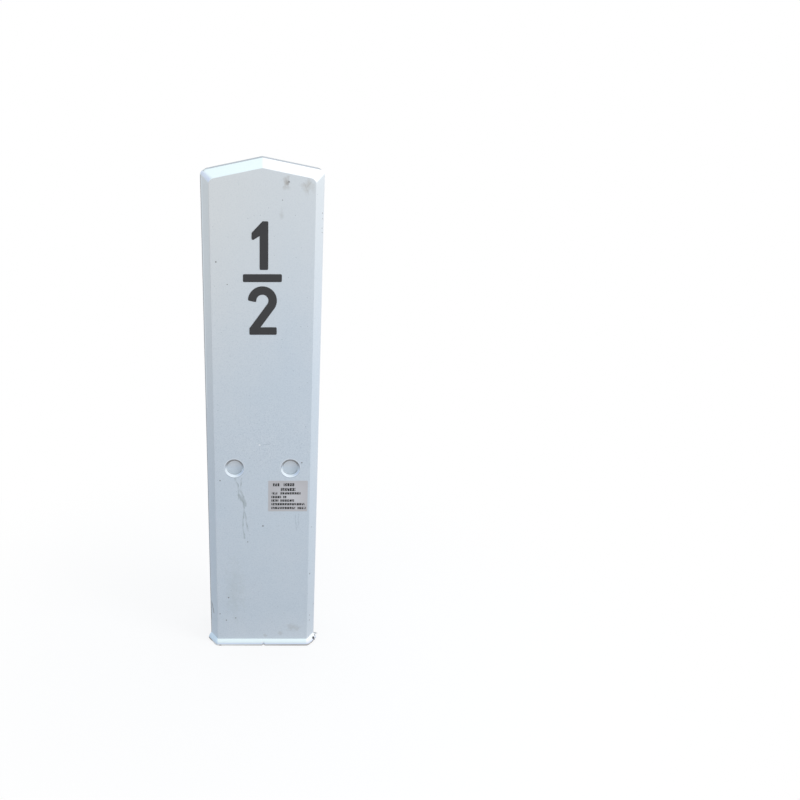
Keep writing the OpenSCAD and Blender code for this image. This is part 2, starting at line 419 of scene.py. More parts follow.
# The torn end: shares of the right bevel, how far the lip is bent out, and its rise
share = np.array([0.16, 0.24, 0.30, 0.38, 0.44, 0.5, 0.58, 0.64, 0.7, 0.76, 0.8, 0.86, 0.9, END])
bent = np.array([0.2, 0.7, 1.0, 0.4, 0.9, 1.2, 0.6, 1.0, 1.3, 0.9, 0.5, 1.0, 0.9, 0.3])
rise = np.array([0.3, 1.4, 0.6, 1.9, 0.8, 2.2, 1.0, 2.6, 1.2, 2.9, 1.6, 3.4, 2.0, 3.0])
torn = np.stack([
    right + share * bevel_length, CORNER_X + share * BEVEL_W, FRONT_Y + share * BEVEL_D,
    out_x + 0 * share, -out_y + 0 * share, TOE_OUT + 1.3 * bent, rise,
], -1)
stations = np.concatenate([stations, torn])
along = np.unique(np.concatenate([
    np.linspace(stations[0, 0], stations[-1, 0], 190), stations[:, 0],
    np.linspace(right, stations[-1, 0], 60),
]))
path = np.stack([np.interp(along, stations[:, 0], stations[:, k]) for k in range(1, 7)], -1)
corners = np.stack([path[:, 2], path[:, 3]], -1)
longest = np.maximum(np.abs(corners[:, 1:]), np.linalg.norm(corners, axis=1)[:, None])
path[:, 2:4] = corners / longest
print("stations:", len(stations), "- points along the toe:", len(along))

# %% Section of the toe
# The section bulges: nearly upright above its edge, and leaning back towards its top
section = rounded(
    [[-2, 6], [-2, 0], [TOE_OUT - 0.8, 0], [TOE_OUT, 0.9], [0.95 * TOE_OUT, 0.4 * TOE_H],
     [0.62 * TOE_OUT, 0.75 * TOE_H], [0, TOE_H], [-2, TOE_H], [-2, 6]],
    [0.3, 0.5, 0.6, 5, 5, 0.2, 0.3], steps=4,
)
lengths = np.concatenate([[0], np.cumsum(np.linalg.norm(np.diff(section, axis=0), axis=1))])
at = np.unique(np.concatenate([lengths, np.arange(0, lengths[-1], 0.9)]))
section = np.stack([np.interp(at, lengths, section[:, k]) for k in (0, 1)], -1)[:-1]
print("points round the toe:", len(section))

# %% Surface of the toe
def toe_surface():
    """The toe's section at every point of its path. The nick and the tear bend it in or
    out, and lift its lip; both fade out towards the toe's upper edge."""
    bend = (path[:, 4:5] - TOE_OUT) * np.clip(1.3 - section[:, 1] / 7, 0, 1)
    out = section[:, 0] * np.where(section[:, 0] > 0, 1 + bend / TOE_OUT, 1)
    z = section[:, 1] + path[:, 5:6] * np.clip(1 - section[:, 1] / 8, 0, 1) * (section[:, 0] > 1)
    x = path[:, 0:1] + path[:, 2:3] * out
    y = path[:, 1:2] + path[:, 3:4] * out
    return np.stack([x, y, z], -1)


toe = toe_surface()

# The hole, in the torn end: points near it sink back along the bevel's inward direction
HOLE_R, HOLE_DEPTH = 1.6, 3.2
HOLE = np.array([CORNER_X + 0.62 * BEVEL_W, FRONT_Y + 0.62 * BEVEL_D, 6.2])
reach = (toe - HOLE) @ np.array([BEVEL_W, BEVEL_D, 0]) / bevel_length
aside = np.hypot(reach, toe[..., 2] - HOLE[2])
outside = (toe[..., 0] - HOLE[0]) * out_x - (toe[..., 1] - HOLE[1]) * out_y > 0.5
sink = np.where(outside, HOLE_DEPTH * np.clip(HOLE_R - aside, 0, 1), 0)
toe = toe - sink[..., None] * [out_x, -out_y, 0]


def end_cap(loop):
    """Closes the end of a tube: one row at the loop, one at the mean of its points."""
    return np.stack([loop, np.repeat(loop.mean(0)[None], len(loop), 0)])


toe_patches = [(toe, True), (end_cap(toe[0]), True), (end_cap(toe[-1]), True)]
print(f"the toe reaches y = {toe[..., 1].min():.1f} mm")

# %% [markdown]
# The flap is a shard of the moulding that was bent out when the toe tore. It is a flat
# oval section that shrinks to a point along a slightly curled line.

# %% Flap
FLAP_ROOT, FLAP_LENGTH = (97.2, -28.6, 8.4), 10.6
t = np.linspace(0, 1, 16)
spine = np.stack([
    FLAP_ROOT[0] + FLAP_LENGTH * t,
    FLAP_ROOT[1] + 1.2 * t**2,
    FLAP_ROOT[2] + 0.4 * np.sin(3 * t) + 0.4 * t,
], -1)
# It tapers from 3.6 mm half height and 0.9 mm half thickness to its point
tall = 3.6 * (1 - t) ** 0.8 * (1 + 0.12 * np.sin(14 * t)) + 0.02
thick = 0.9 * (1 - t) ** 0.5 + 0.01
turn = np.linspace(0, 2 * np.pi, 20, endpoint=False)
flap = np.stack([
    spine[:, 0:1] + 0 * turn,
    spine[:, 1:2] + thick[:, None] * np.cos(turn),
    spine[:, 2:3] + 0.95 * tall[:, None] * np.sin(turn),
], -1)
flap_patches = [(flap, True), (end_cap(flap[0]), True), (end_cap(flap[-1]), True)]
print(f"the flap reaches x = {flap[..., 0].max():.1f} mm")

# %% [markdown] All these patches become one mesh. Its faces are shaded smoothly,
# except across edges that turn by more than 38 degrees.

# %% Put the shell together
shell_mesh = mesh_from("marker_shell", shell_patches + toe_patches + flap_patches)
shell = bpy.data.objects.new("marker_shell", shell_mesh)
bpy.context.scene.collection.objects.link(shell)
shell_mesh.shade_smooth()
shell_mesh.set_sharp_from_angle(angle=np.radians(38))
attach(shell, "root")
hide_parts("post_shell")

# %% [markdown]
# ## Helpers for materials
#
# Colours are written as the eye sees them, in sRGB, and one function turns them into
# the linear values that a shader needs. One small function adds a node.

# %% Colours and nodes
def linear(code, alpha=1.0):
    """A colour such as #D6E0E8 as linear red, green, blue and alpha: below 0.04045 a
    channel is divided by 12.92, and above it is ((c + 0.055) / 1.055) to the power 2.4."""
    c = np.array([int(code[k:k + 2], 16) for k in (1, 3, 5)]) / 255
    c = np.where(c <= 0.04045, c / 12.92, ((c + 0.055) / 1.055) ** 2.4)
    return (*c.tolist(), alpha)


def add(tree, kind, inputs=None, **settings):
    """Adds a node, sets its properties, and fills its inputs by name or number with
    either a value or another node's output."""
    made = tree.nodes.new(kind)
    for name, value in settings.items():
        setattr(made, name, value)
    for key, value in (inputs or {}).items():
        if isinstance(value, bpy.types.NodeSocket):
            tree.links.new(value, made.inputs[key])
        else:
            made.inputs[key].default_value = value
    return made


def new_material(name):
    """A material with nothing in its node tree but its output and its shader."""
    material = bpy.data.materials.new(name)
    material.use_nodes = True
    tree = material.node_tree
    tree.nodes.clear()
    shader = add(tree, "ShaderNodeBsdfPrincipled")
    output = add(tree, "ShaderNodeOutputMaterial", {"Surface": shader.outputs[0]})
    output.name = "output"
    return material, tree, shader


def dress(names, material):
    """Gives pieces of the CAD a material in place of the one they came with."""
    for name in names:
        slots = frame["nodes"][name].data.materials
        slots.clear()
        slots.append(material)


print("a linear mid grey is", round(linear("#808080")[0], 3))

# %% [markdown]
# ## Gel coat
#
# The shell's skin is polyester gel coat: resin that is brushed into the mould before the fibres and takes
# the mould's polish. It is pale blue-white, satin, a little wavy, and faintly mottled where its thickness
# varies. Fine pinholes are usual. Weather and handling have left smudges, scratches and specks on it. Dark
# marks lie along its edges, its roof is painted grey, and light and shade are painted on its top, slopes,
# toe, recesses and left bevel.
#
# Each of those marks is a mask, 1 where the mark is and 0 elsewhere, worked out from
# distances on the object's own coordinates. Its colour is laid over the coat where the
# mask is. A picture could do this too, but a mask stays sharp at any size. These
# helpers make spots and thin lines, join them, and lay colours.

# %% Marks on the gel coat
def spot(tree, where, centre, size, soften=0.5, wobble=None):
    """A mark, 1 inside and 0 outside: the distance from its centre, divided by its size
    along each axis, in millimetres. With a wobble, noise makes its edge ragged."""
    apart = add(tree, "ShaderNodeVectorMath", {
        0: where, 1: tuple(c * MM for c in centre),
    }, operation="SUBTRACT").outputs[0]
    scaled = add(tree, "ShaderNodeVectorMath", {
        0: apart, 1: tuple(s * MM for s in size),
    }, operation="DIVIDE").outputs[0]
    far = add(tree, "ShaderNodeVectorMath", {0: scaled}, operation="LENGTH").outputs["Value"]
    if wobble:
        far = add(tree, "ShaderNodeMath", {0: far, 1: wobble}, operation="ADD").outputs[0]
    return add(tree, "ShaderNodeMapRange", {
        "Value": far, "From Min": 1.0, "From Max": 1.0 - soften,
    }).outputs[0]


def scratch(tree, where, start, end, width):
    """A thin mark from start to end, 1 on its line and 0 at its width: the nearest point
    of the line is start + t (end - start), where t is (p - start) . (end - start) divided
    by the length squared and kept between 0 and 1."""
    a = np.array(start) * MM
    span = np.array(end) * MM - a
    from_start = add(tree, "ShaderNodeVectorMath", {
        0: where, 1: tuple(a),
    }, operation="SUBTRACT").outputs[0]
    t = add(tree, "ShaderNodeVectorMath", {
        0: from_start, 1: tuple(span / (span @ span)),
    }, operation="DOT_PRODUCT").outputs["Value"]
    t = add(tree, "ShaderNodeClamp", {0: t}).outputs[0]
    nearest = add(tree, "ShaderNodeVectorMath", {
        0: tuple(span), "Scale": t,
    }, operation="SCALE").outputs[0]
    far = add(tree, "ShaderNodeVectorMath", {
        0: from_start, 1: nearest,
    }, operation="DISTANCE").outputs["Value"]
    return add(tree, "ShaderNodeMapRange", {
        "Value": far, "From Min": width * MM, "From Max": 0.2 * width * MM,
    }).outputs[0]


def darker_of(tree, marks):
    """The strongest of several marks at each point."""
    strongest = marks[0]
    for mark in marks[1:]:
        strongest = add(tree, "ShaderNodeMath", {
            0: strongest, 1: mark,
        }, operation="MAXIMUM").outputs[0]
    return strongest


def overlap_of(tree, marks):
    """Where several marks lie on each other: their product."""
    shared = marks[0]
    for mark in marks[1:]:
        shared = add(tree, "ShaderNodeMath", {0: shared, 1: mark}, operation="MULTIPLY").outputs[0]
    return shared


def blend(tree, colour, mark, over, strength=1.0):
    """Lays a colour over another where a mark is, at some strength."""
    amount = add(tree, "ShaderNodeMath", {0: mark, 1: strength}, operation="MULTIPLY").outputs[0]
    return add(tree, "ShaderNodeMix", {
        "Factor": amount, "A": colour, "B": over,
    }, data_type="RGBA").outputs["Result"]


print("marks are measured in millimetres on the object's own coordinates")

# %% [markdown]
# The coat itself comes first. Its thickness varies over some 60 mm, which mottles it.
# It is painted paler and warmer towards the top, as painted light from the lamp near the post's top, a
# little warmer still at the upper left, and the last 80 mm over the foot are paler. Under a lens the coat
# is never quite even: a grain of about 2 mm, both darker and paler, keeps it from looking like plain
# paint. It is drawn stronger low down and round the recesses, where the mould was rougher.

# %% Coat and grain
gel_coat, tree, shader = new_material("gel_coat_polyester")
where = add(tree, "ShaderNodeTexCoord").outputs["Object"]
x_at, y_at, z_at = add(tree, "ShaderNodeSeparateXYZ", {"Vector": where}).outputs

MOTTLE, GRAIN = 60, 2.2
mottle = add(tree, "ShaderNodeTexNoise", {
    "Vector": where, "Scale": 1 / (MOTTLE * MM), "Detail": 4.0,
}).outputs[0]
lower = add(tree, "ShaderNodeMix", {
    "Factor": mottle, "A": linear("#CEDAE4"), "B": linear("#D8E0E7"),
}, data_type="RGBA").outputs["Result"]
# Painted light: the coat is painted paler and warmer towards the top
height = add(tree, "ShaderNodeMapRange", {
    "Value": z_at, "From Min": 500 * MM, "From Max": 900 * MM,
}, interpolation_type="SMOOTHSTEP").outputs[0]
colour = blend(tree, lower, height, linear("#E0E3E3"), 0.75)

to_left = add(tree, "ShaderNodeMapRange", {
    "Value": x_at, "From Min": 40 * MM, "From Max": -80 * MM,
}).outputs[0]
rising = add(tree, "ShaderNodeMapRange", {
    "Value": z_at, "From Min": 350 * MM, "From Max": 650 * MM,
}).outputs[0]
colour = blend(tree, colour, overlap_of(tree, [to_left, rising]), linear("#FCF6EA"), 0.2)
foot_pale = add(tree, "ShaderNodeMapRange", {
    "Value": z_at, "From Min": 80 * MM, "From Max": 15 * MM,
}).outputs[0]
colour = blend(tree, colour, foot_pale, linear("#F4F8FC"), 0.16)

grain = add(tree, "ShaderNodeTexNoise", {
    "Vector": where, "Scale": 1 / (GRAIN * MM), "Detail": 3.0,
}).outputs[0]
rough_low = add(tree, "ShaderNodeMapRange", {
    "Value": z_at, "From Min": 780 * MM, "From Max": 600 * MM, "To Min": 0.5, "To Max": 1.0,
}).outputs[0]
rough_middle = spot(tree, where, (10, FRONT_Y, 420), (110, 9, 90), 0.9)
coarser = add(tree, "ShaderNodeMath", {0: rough_low, 1: rough_middle}, operation="ADD").outputs[0]
for start, end, code, strength in [(0.52, 0.72, "#A6B3BF", 0.2), (0.45, 0.28, "#F2F6F8", 0.15)]:
    grains = add(tree, "ShaderNodeMapRange", {"Value": grain, "From Min": start, "From Max": end})
    colour = blend(tree, colour, overlap_of(tree, [grains.outputs[0], coarser]), linear(code), strength)
print("coat and grain:", len(tree.nodes), "nodes")

# %% [markdown]
# Air trapped under the gel coat leaves pinholes. Cells of a Voronoi texture scatter them:
# a hole is where the distance to the cell's middle is small, and only some of the cells
# get one. Here they are about 1.3 mm across, larger than real ones, so that they show.
# The same step makes the noise that will roughen the edges of marks and bend thin lines.

# %% Pinholes and ragged edges
PINHOLE_CELL, RAGGED, BEND = 11, 8, 5
cells = add(tree, "ShaderNodeTexVoronoi", {"Vector": where, "Scale": 1 / (PINHOLE_CELL * MM)})
pick = add(tree, "ShaderNodeSeparateColor", {"Color": cells.outputs["Color"]}).outputs[0]
some = add(tree, "ShaderNodeMath", {0: pick, 1: 0.6}, operation="GREATER_THAN").outputs[0]
hole = add(tree, "ShaderNodeMapRange", {
    "Value": cells.outputs["Distance"], "From Min": 0.09, "From Max": 0.03,
}).outputs[0]
pinhole = overlap_of(tree, [some, hole])
colour = blend(tree, colour, pinhole, linear("#87949E"), 0.55)

# The noise is about 0.5 on average; less 0.5 it moves an edge as often in as out
ragged = add(tree, "ShaderNodeTexNoise", {
    "Vector": where, "Scale": 1 / (RAGGED * MM), "Detail": 5.0,
})
wobble = add(tree, "ShaderNodeMath", {
    0: ragged.outputs[0], 1: 0.5,
}, operation="SUBTRACT").outputs[0]
wobble = add(tree, "ShaderNodeMath", {0: wobble, 1: 2.4}, operation="MULTIPLY").outputs[0]
shift = add(tree, "ShaderNodeVectorMath", {
    0: ragged.outputs["Color"], 1: (0.5, 0.5, 0.5),
}, operation="SUBTRACT").outputs[0]
shift = add(tree, "ShaderNodeVectorMath", {
    0: shift, 1: (BEND * MM, 0, BEND * MM),
}, operation="MULTIPLY").outputs[0]
bent_where = add(tree, "ShaderNodeVectorMath", {0: where, 1: shift}, operation="ADD").outputs[0]
thin = add(tree, "ShaderNodeMapRange", {
    "Value": ragged.outputs[0], "From Min": 0.35, "From Max": 0.6, "To Min": 1.0, "To Max": 0.25,
}).outputs[0]
print("pinholes in cells of", PINHOLE_CELL, "mm")

# %% [markdown]
# Dirty hands and wet leaves leave smudges: a dark one and a lighter one near the top,
# and faint ones above the foot. Two rubbed streaks lie in the lighter smudge.

# %% Smudges
# How far a mark on the face reaches in and out of it
REACH = 9


def face_line(points, width):
    """Thin lines on the face, through the points (x, z), bent a little by the noise."""
    return darker_of(tree, [
        scratch(tree, bent_where, (x0, FRONT_Y, z0), (x1, FRONT_Y, z1), width)
        for (x0, z0), (x1, z1) in zip(points, points[1:])
    ])


# Middle x and z, half width and half height, softness, colour and strength
SMUDGES = [
    (39, 862, 7, 13, 0.95, "#A39A8E", 0.5),
    (72, 857, 12, 13, 0.95, "#A9A295", 0.36),
    (40.5, 861, 3, 7, 0.9, "#7F766C", 0.5),
    (-52, 120, 22, 75, 0.95, "#A3AEA9", 0.16),
]
for x, z, wide, tall, soften, code, strength in SMUDGES:
    mark = spot(tree, where, (x, FRONT_Y, z), (wide, REACH, tall), soften, wobble)
    colour = blend(tree, colour, mark, linear(code), strength)
streaks = darker_of(tree, [
    face_line([(70, 855), (77, 864)], 1.6),
    face_line([(66, 862), (74, 845)], 1.4),
])
colour = blend(tree, colour, streaks, linear("#9A9488"), 0.16)

# Middle x and z, half width and half height
FAINT = [(31, 813, 5, 12), (60, 38, 15, 9), (33, 25, 6, 6), (5, 20, 5, 5)]
faint = darker_of(tree, [
    spot(tree, where, (x, FRONT_Y, z), (wide, REACH, tall), 0.9, wobble)
    for x, z, wide, tall in FAINT
])
colour = blend(tree, colour, faint, linear("#A6A69F"), 0.3)
print("smudges:", len(SMUDGES) + len(FAINT))

# %% [markdown]
# Something hard was dragged down the face from the left recess. It left a tangle of thin
# grey lines that cross some 65 mm below the recess, with two rubbed patches there. Pale
# ghost lines, one white chip and dark specks are on the face as well.

# %% Scratches
LINES = [
    [(-50, 352), (-44, 338), (-43, 328), (-43, 310)],
    [(-48, 352), (-43, 334), (-37, 320), (-30, 305), (-29, 298)],
    [(-37, 352), (-39, 338), (-37, 320)],
    [(-41, 313), (-36, 308), (-33, 290)],
    [(-33, 290), (-35, 274), (-36, 258), (-33, 231)],
    [(-33, 290), (-30, 272), (-29, 258), (-26, 246)],
]
scratches = darker_of(tree, [face_line(line, 1.9) for line in LINES])
colour = blend(tree, colour, overlap_of(tree, [scratches, thin]), linear("#75827F"), 0.46)
rubbed = darker_of(tree, [
    face_line([(-42, 318), (-35, 306)], 4.2),
    face_line([(-36, 312), (-31, 298)], 4.4),
])
colour = blend(tree, colour, rubbed, linear("#7C8884"), 0.36)
ghosts = darker_of(tree, [
    face_line([(60, 279), (62.7, 247)], 1.2),
    face_line([(65.7, 281), (65.4, 253)], 1.0),
    face_line([(-2, 415.5), (15, 417.5)], 1.0),
])
colour = blend(tree, colour, ghosts, linear("#97A5B0"), 0.3)
print("scratch lines:", len(LINES))

# %% Chip and specks
chip = spot(tree, where, (-4.9, FRONT_Y, 416), (2.3, REACH, 2.0), 0.6)
colour = blend(tree, colour, chip, linear("#FCFEFF"), 0.9)

# Dark specks on the face, then on the bevel and the roof's slope: x, y, z and radius
SPECKS = [
    (42, FRONT_Y, 864, 1.5), (70, FRONT_Y, 382, 1.5), (-76, FRONT_Y, 347, 1.4),
    (1, FRONT_Y, 256, 1.7), (-64, FRONT_Y, 104, 1.6), (-69, FRONT_Y, 54, 1.3),
    (-51, FRONT_Y, 59, 1.3), (-81, FRONT_Y, 68, 1.2), (-76, FRONT_Y, 738, 1.5),
    (32, FRONT_Y, 836, 0.9), (-58, FRONT_Y, 701, 1.0), (-27, FRONT_Y, 223, 1.2),
    (89, -45, 153, 1.8), (99, -30, 77, 1.2), (91, -42, 60, 1.4), (90.5, -42.5, 49, 1.3),
    (90.5, -42.5, 250, 1.0), (97.2, -32, 814, 1.3), (97.4, -31.5, 805, 1.0),
    (97, -32, 790, 1.2), (97.4, -31.5, 783, 1.2),
    (-13.5, FRONT_Y + 11, 888, 1.3), (-10.5, FRONT_Y + 13, 890, 1.1),
]
specks = darker_of(tree, [
    spot(tree, where, (x, y, z), (1.1 * r, 1.1 * r, 1.1 * r)) for x, y, z, r in SPECKS
])
colour = blend(tree, colour, specks, linear("#5F5A55"), 0.8)
print("specks:", len(SPECKS))

# %% [markdown]
# The slopes that face the sky are painted nearly white, a painted highlight of the light from above, and
# what faces right is painted whiter than the left, as painted light from the lamp at the right. The roof
# behind them is level from front to back and is painted grey. Which way a surface faces is read from its
# normal: its upward part is 0.98 on the roof, about 0.8 on the slopes in front of it and 0 on upright
# walls.

# %% Roof and slopes
facing = add(tree, "ShaderNodeNewGeometry").outputs["Normal"]
parts_of_normal = add(tree, "ShaderNodeSeparateXYZ", {"Vector": facing}).outputs
facing_x, up = parts_of_normal["X"], parts_of_normal["Z"]
# Painted highlight: what faces upwards is painted nearly white, and what faces right whiter still
slope = add(tree, "ShaderNodeMapRange", {
    "Value": up, "From Min": 0.12, "From Max": 0.3,
}).outputs[0]
colour = blend(tree, colour, slope, linear("#F2FFFF"), 0.97)
facing_right = add(tree, "ShaderNodeMapRange", {
    "Value": facing_x, "From Min": 0.02, "From Max": 0.08,
}).outputs[0]
colour = blend(tree, colour, overlap_of(tree, [slope, facing_right]), linear("#FFFFFF"), 0.9)

# The level roof is painted grey
level = add(tree, "ShaderNodeMapRange", {
    "Value": up, "From Min": 0.9, "From Max": 0.96,
}).outputs[0]
upper_half = add(tree, "ShaderNodeMath", {0: z_at, 1: 500 * MM}, operation="GREATER_THAN").outputs[0]
colour = blend(tree, colour, overlap_of(tree, [level, upper_half]), linear("#97A1AA"), 0.85)
# Painted shade: the left shoulder's rounding, which faces left, is painted bluer
facing_left = add(tree, "ShaderNodeMapRange", {
    "Value": facing_x, "From Min": -0.3, "From Max": -0.5,
}).outputs[0]
shoulder = overlap_of(tree, [facing_left, slope, upper_half])
colour = blend(tree, colour, shoulder, linear("#E0E8FF"), 0.8)
print("roof and slopes:", len(tree.nodes), "nodes so far")

# %% [markdown]
# The toe faces the sky as well, so the slopes' painted highlight makes it nearly white above. Its lower
# half is painted bluer, as painted shade, and so is the whole of its left end. The last 3 mm are bare of
# that blue, and they are stained brown towards the right.

# %% Toe colours
near_front = add(tree, "ShaderNodeMath", {
    0: y_at, 1: (FRONT_Y + BEVEL_D + 2) * MM,
}, operation="LESS_THAN").outputs[0]
# Painted shade: the toe's lower half is painted bluer
toe_low = add(tree, "ShaderNodeMapRange", {
    "Value": z_at, "From Min": 8 * MM, "From Max": 3 * MM,
}).outputs[0]
colour = blend(tree, colour, overlap_of(tree, [toe_low, near_front]), linear("#D6E2FF"), 0.85)
on_toe = add(tree, "ShaderNodeMath", {
    0: z_at, 1: (TOE_H + 0.2) * MM,
}, operation="LESS_THAN").outputs[0]
# Painted shade: the toe's left end is painted bluer
toe_left = add(tree, "ShaderNodeMapRange", {
    "Value": x_at, "From Min": -86 * MM, "From Max": -88 * MM,
}).outputs[0]
colour = blend(tree, colour, overlap_of(tree, [on_toe, toe_left, near_front]), linear("#DDF0FF"), 0.92)
lip = add(tree, "ShaderNodeMapRange", {
    "Value": z_at, "From Min": 4.2 * MM, "From Max": 2.8 * MM,
}).outputs[0]
colour = blend(tree, colour, lip, linear("#F6F6F0"))
stained = add(tree, "ShaderNodeMapRange", {
    "Value": x_at, "From Min": -60 * MM, "From Max": 60 * MM, "To Min": 0.1, "To Max": 1.0,
}).outputs[0]
colour = blend(tree, colour, overlap_of(tree, [lip, stained]), linear("#B7B1AB"), 0.9)
print("toe:", len(tree.nodes), "nodes so far")

# %% [markdown]
# Shade and light are painted into the recesses: a painted shadow under their upper walls, floors painted
# paler above their middle and darker towards the foot, and painted highlights on the outer half of the
# lower wall and on the upper rim, with painted shade on the inner half of the lower wall and on the lower
# rim.
# Both recesses are alike, so the left one is folded over the right one: the absolute
# value of x does that. Two helpers then give rings round a recess's middle, and keep
# only their upper or lower part.

# %% Rings round the recesses
side_x = add(tree, "ShaderNodeMath", {0: x_at}, operation="ABSOLUTE").outputs[0]
folded = add(tree, "ShaderNodeCombineXYZ", {"X": side_x, "Z": z_at}).outputs[0]
from_middle = add(tree, "ShaderNodeVectorMath", {
    0: folded, 1: (RECESS_X * MM, 0, RECESS_Z * MM),
}, operation="DISTANCE").outputs["Value"]
over_middle = add(tree, "ShaderNodeMath", {
    0: z_at, 1: RECESS_Z * MM,
}, operation="SUBTRACT").outputs[0]
at_front = add(tree, "ShaderNodeMath", {
    0: y_at, 1: (FRONT_Y + RECESS_DEPTH + 1) * MM,
}, operation="LESS_THAN").outputs[0]


def band(inside, outside, fade):
    """1 between two distances from a recess's middle, falling to 0 over a short fade, and
    only at the front."""
    rise = add(tree, "ShaderNodeMapRange", {
        "Value": from_middle, "From Min": (inside - fade) * MM, "From Max": inside * MM,
    }).outputs[0]
    fall = add(tree, "ShaderNodeMapRange", {
        "Value": from_middle, "From Min": (outside + fade) * MM, "From Max": outside * MM,
    }).outputs[0]
    return overlap_of(tree, [rise, fall, at_front])


def part(mark, from_z, to_z):
    """A mark, faded in between two heights over the recess's middle."""
    share = add(tree, "ShaderNodeMapRange", {
        "Value": over_middle, "From Min": from_z * MM, "From Max": to_z * MM,
    }).outputs[0]
    return overlap_of(tree, [mark, share])


print("a recess is", 2 * RECESS_R, "mm across at its rim")

# %% Recess colours
# Painted light on the floors: paler above the middle, darker towards the foot
recess_floor = band(0, 13.6, 0.5)
colour = blend(tree, colour, part(recess_floor, -2, 12), linear("#FFFFFF"), 0.75)
colour = blend(tree, colour, part(recess_floor, -3, -13), linear("#A9B4B8"), 0.32)
# Painted shade on the inner half of the lower wall, a painted highlight on its outer half, and painted
# shade where that half faces left
inner_wall = band(14.0, 14.9, 0.4)
colour = blend(tree, colour, part(inner_wall, -2, -9), linear("#A3AEB8"), 0.8)
outer_wall = part(band(15.3, 17.2, 0.3), 0, -5)
colour = blend(tree, colour, outer_wall, linear("#F2FAFF"), 0.95)
right_side = add(tree, "ShaderNodeMapRange", {
    "Value": facing_x, "From Min": -0.15, "From Max": -0.55,
}).outputs[0]
colour = blend(tree, colour, overlap_of(tree, [outer_wall, right_side]), linear("#DEECFF"), 0.9)

# The painted shadow under the upper wall is a crescent: inside the rim, and outside a circle that lies a
# little lower
LOWERED = 1.4
from_lowered = add(tree, "ShaderNodeVectorMath", {
    0: folded, 1: (RECESS_X * MM, 0, (RECESS_Z - LOWERED) * MM),
}, operation="DISTANCE").outputs["Value"]
crescent = add(tree, "ShaderNodeMapRange", {
    "Value": from_lowered, "From Min": 12.2 * MM, "From Max": 13.2 * MM,
}).outputs[0]
recess_painted_shadow = overlap_of(tree, [band(0, 16.6, 0.3), crescent])
colour = blend(tree, colour, part(recess_painted_shadow, -1, 6), linear("#7C746C"), 0.66)
# A painted highlight on the upper rim, and painted shade on the lower rim
colour = blend(tree, colour, part(band(17.6, 18.6, 0.6), -4, 6), linear("#F4F8FC"), 0.6)
colour = blend(tree, colour, part(band(17.9, 18.9, 0.6), -6, -12), linear("#A0ADBA"), 0.4)
print("recesses:", len(tree.nodes), "nodes so far")

# %% [markdown]
# The left bevel is painted paler towards its top and bluer low down, as painted light. Its outer edge is
# painted dark, a painted shade, with a painted highlight in a pale stripe beside it higher up; dark brown
# marks lie along it low down, and a scuff is on the bevel. Dark marks also lie on the left shoulder's
# front and along the roof's ends.

# %% Left bevel and grime
left_side = add(tree, "ShaderNodeMapRange", {
    "Value": x_at, "From Min": -85.5 * MM, "From Max": -87 * MM,
}).outputs[0]
high_up = add(tree, "ShaderNodeMapRange", {
    "Value": z_at, "From Min": 500 * MM, "From Max": 750 * MM,
}).outputs[0]
low_part = add(tree, "ShaderNodeMapRange", {
    "Value": z_at, "From Min": 500 * MM, "From Max": 200 * MM,
}).outputs[0]
# Painted light: the left bevel is painted paler towards its top and bluer low down
colour = blend(tree, colour, overlap_of(tree, [left_side, high_up]), linear("#F0FCFF"), 0.25)
colour = blend(tree, colour, overlap_of(tree, [left_side, low_part]), linear("#A8C4DC"), 0.2)
# Painted highlight: a pale stripe on the rounded edge, higher up
pale_stripe = scratch(tree, where, (-97.4, -32, 480), (-97.4, -32, 868), 2.2)
colour = blend(tree, colour, pale_stripe, linear("#F4FCFF"), 0.75)
# Painted shade: a dark line along the outer edge
left_edge = scratch(tree, where, (-100, -28, 14), (-100, -28, 872), 3.0)
colour = blend(tree, colour, left_edge, linear("#6A6B6E"), 0.8)

# Two lengths of the edge, the scuff, the left shoulder's front, and the roof's two ends
dark_edge_marks = darker_of(tree, [
    scratch(tree, where, (-100, -28.5, 112), (-99.6, -29.5, 42), 2.4),
    scratch(tree, where, (-100, -28, 322), (-100, -28, 235), 1.6),
    scratch(tree, where, (-97.6, -32, 84), (-93.4, -38, 63), 2.2),
    scratch(tree, where, (-99.6, -26, 874), (-96, -26, 880), 2.4),
    spot(tree, where, (-94, 10, 880.5), (3, 60, 2.5)),
    spot(tree, where, (95, 10, 880.5), (3.4, 60, 2.5)),
])
colour = blend(tree, colour, overlap_of(tree, [dark_edge_marks, thin]), linear("#4E443C"), 0.95)
print("grime:", len(tree.nodes), "nodes so far")

# %% [markdown]
# The hole of the torn end is painted dark round it, as painted shade, and a dark mark lies beside its
# flap. The lip's lower edge is brown at both ends, the flap's edges are grey, and the nick is painted
# grey.

# %% Torn end
# Painted shade round the hole, and a dark mark beside the flap's root
hole_shade_and_flap_mark = darker_of(tree, [
    spot(tree, where, tuple(HOLE + [3.8, -2.5, 0]), (4.4, 4.4, 2.9), 0.35),
    spot(tree, where, (102.4, -33, 8.2), (1.6, 3.0, 1.8), 0.6),
])
colour = blend(tree, colour, hole_shade_and_flap_mark, linear("#3F3A37"), 0.92)
brown_edge = darker_of(tree, [
    scratch(tree, where, (94.5, -48, 1.4), (101, -39, 2.6), 2.6),
    scratch(tree, where, (-105, -31, 1.4), (-98.5, -41, 1.0), 3.6),
    scratch(tree, where, (-83, -56, 1.6), (-80, -56, 1.6), 1.2),
])
colour = blend(tree, colour, brown_edge, linear("#5E4F47"), 0.9)
flap_edge = darker_of(tree, [
    scratch(tree, where, (98.5, -29, 12.2), (103, -28.4, 10.4), 1.8),
    scratch(tree, where, (103, -28.4, 10.4), (108, -27.4, 9.2), 1.2),
    scratch(tree, where, (104, -32, 4.5), (108, -27.4, 8.6), 1.6),
])
